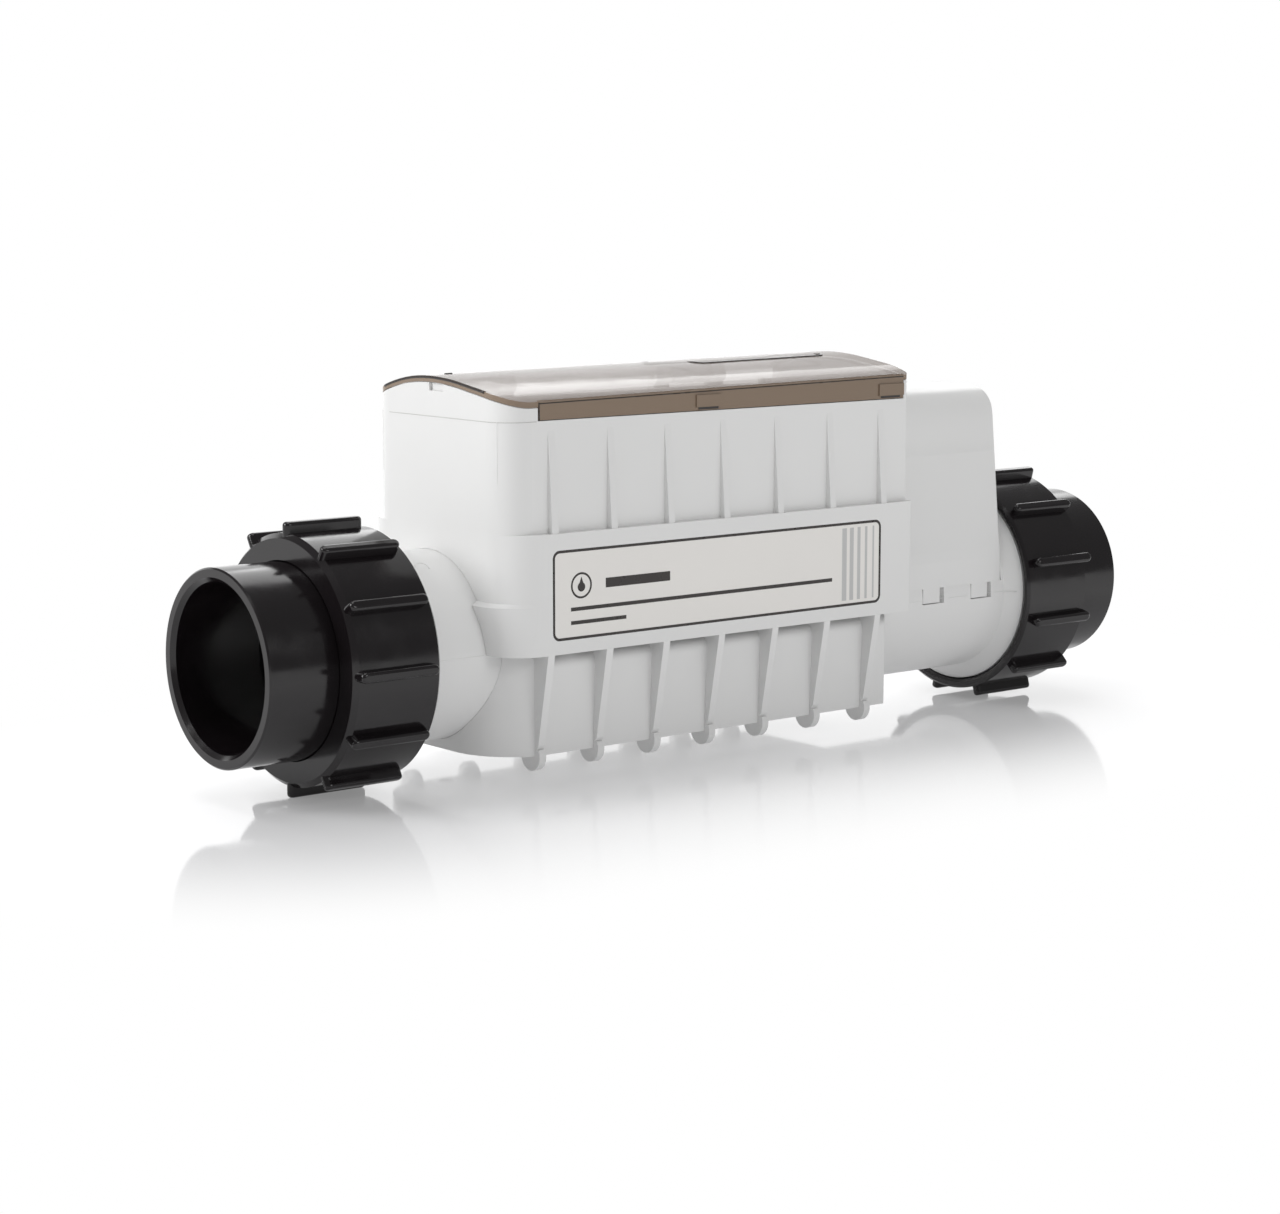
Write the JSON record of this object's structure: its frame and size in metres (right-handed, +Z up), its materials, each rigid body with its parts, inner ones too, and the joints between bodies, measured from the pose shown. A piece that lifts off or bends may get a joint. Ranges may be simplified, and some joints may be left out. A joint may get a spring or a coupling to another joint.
{
  "type": "salt chlorine generator",
  "caption": "Inline pool salt chlorine generator: ribbed white housing on a flow tube, smoked hinged lid, titanium cell, flow switch and black pipe unions.",
  "frame": {"origin": "centre of the overall box, on the surface that the union nuts stand on; the pipe's axis is 49 mm above it", "axes": "+X along the pipe from the inlet to the outlet, -Y the front with the label, +Z up"},
  "size_m": [0.419, 0.1, 0.1484],
  "materials": {
    "white_plastic": "satin moulded ABS",
    "smoked_lid": "smoked, slightly translucent, glossy",
    "black_plastic": "glossy moulded ABS",
    "gland_plastic": "satin nylon",
    "black_rubber": "matte",
    "label_field": "printed polyester label",
    "label_edge": "printed dark border",
    "panel_plastic": "light grey moulding",
    "overlay_film": "printed film",
    "key_rubber": "soft key cap",
    "green_light": "clear light guide",
    "red_light": "clear light guide",
    "board": "solder mask",
    "component_black": "moulded case",
    "led_clear": "clear epoxy",
    "heat_sink_metal": "extruded",
    "terminal_green": "moulded",
    "steel": "stainless",
    "titanium": "coated titanium",
    "grey_plastic": "moulded",
    "magnet": "coated ferrite",
    "reed_glass": "clear"
  },
  "bodies": {
    "housing": {"cell_tube": "white_plastic", "lower_housing": "white_plastic", "upper_housing": "white_plastic", "label_border": "label_edge", "label_plate": "label_field", "top_bezel": "white_plastic", "lid_hinge_pins": "steel", "control_panel": "panel_plastic", "panel_overlay": "overlay_film", "output_level_lights": "green_light", "warning_lights": "red_light", "circuit_board": "board", "button_switches": "component_black", "status_leds": "led_clear", "relays": "component_black", "capacitors": "component_black", "heat_sink": "heat_sink_metal", "terminal_block": "terminal_green", "board_screws": "steel", "bezel_screws": "steel", "housing_screws": "steel", "electrode_head": "grey_plastic", "head_gasket": "black_rubber", "head_screws": "steel", "anode_plates": "titanium", "cathode_plates": "titanium", "electrode_combs": "grey_plastic", "anode_rod": "titanium", "cathode_rod": "titanium", "rod_seals": "black_rubber", "rod_nuts": "steel", "temperature_probe": "titanium", "salinity_probe": "titanium", "flow_switch_body": "grey_plastic", "flow_switch_gasket": "black_rubber", "flow_switch_screws": "steel", "paddle_pin": "steel", "reed_switch": "reed_glass", "flow_switch_cover": "white_plastic", "gland_body": "gland_plastic", "gland_nut": "gland_plastic", "gland_seal": "black_rubber", "gland_locknut": "gland_plastic"},
    "lid": {"lid": "smoked_lid"},
    "paddle": {"flow_paddle": "grey_plastic", "paddle_magnet": "magnet"},
    "inlet_tail": {"inlet_tailpiece": "black_plastic", "inlet_o_ring": "black_rubber"},
    "inlet_union_nut": {"inlet_nut": "black_plastic"},
    "outlet_tail": {"outlet_tailpiece": "black_plastic", "outlet_o_ring": "black_rubber"},
    "outlet_union_nut": {"outlet_nut": "black_plastic"},
    "less_key": {"button_less": "key_rubber"},
    "more_key": {"button_more": "key_rubber"},
    "boost_key": {"button_boost": "key_rubber"},
    "info_key": {"button_info": "key_rubber"}
  },
  "joints": [
    {"name": "lid_hinge", "type": "hinge", "parent": "housing", "child": "lid", "pos_m": [0, 0.0338, 0.1385], "axis": [-1, 0, 0], "range_deg": [0, 105]},
    {"name": "flow_paddle_swing", "type": "hinge", "parent": "housing", "child": "paddle", "pos_m": [0.108, 0, 0.066], "axis": [0, -1, 0], "range_deg": [0, 30]},
    {"name": "inlet_union_travel", "type": "slide", "parent": "housing", "child": "inlet_tail", "axis": [-1, 0, 0], "range_m": [0, 0.012]},
    {"name": "inlet_nut_turn", "type": "hinge", "parent": "inlet_tail", "child": "inlet_union_nut", "pos_m": [-0.164, 0, 0.049], "axis": [-1, 0, 0], "range_deg": [0, 1080]},
    {"name": "outlet_union_travel", "type": "slide", "parent": "housing", "child": "outlet_tail", "axis": [1, 0, 0], "range_m": [0, 0.012]},
    {"name": "outlet_nut_turn", "type": "hinge", "parent": "outlet_tail", "child": "outlet_union_nut", "pos_m": [0.164, 0, 0.049], "axis": [1, 0, 0], "range_deg": [0, 1080]},
    {"name": "less_key_press", "type": "slide", "parent": "housing", "child": "less_key", "axis": [0, 0, -1], "range_m": [0, 0.0008], "stiffness_N_per_m": 400, "springref_m": -0.0005},
    {"name": "more_key_press", "type": "slide", "parent": "housing", "child": "more_key", "axis": [0, 0, -1], "range_m": [0, 0.0008], "stiffness_N_per_m": 400, "springref_m": -0.0005},
    {"name": "boost_key_press", "type": "slide", "parent": "housing", "child": "boost_key", "axis": [0, 0, -1], "range_m": [0, 0.0008], "stiffness_N_per_m": 400, "springref_m": -0.0005},
    {"name": "info_key_press", "type": "slide", "parent": "housing", "child": "info_key", "axis": [0, 0, -1], "range_m": [0, 0.0008], "stiffness_N_per_m": 400, "springref_m": -0.0005}
  ],
  "couplings": [
    {"joint": "inlet_nut_turn", "follows": "inlet_union_travel", "rad_per_m": 1570.8},
    {"joint": "outlet_nut_turn", "follows": "outlet_union_travel", "rad_per_m": 1570.8}
  ]
}
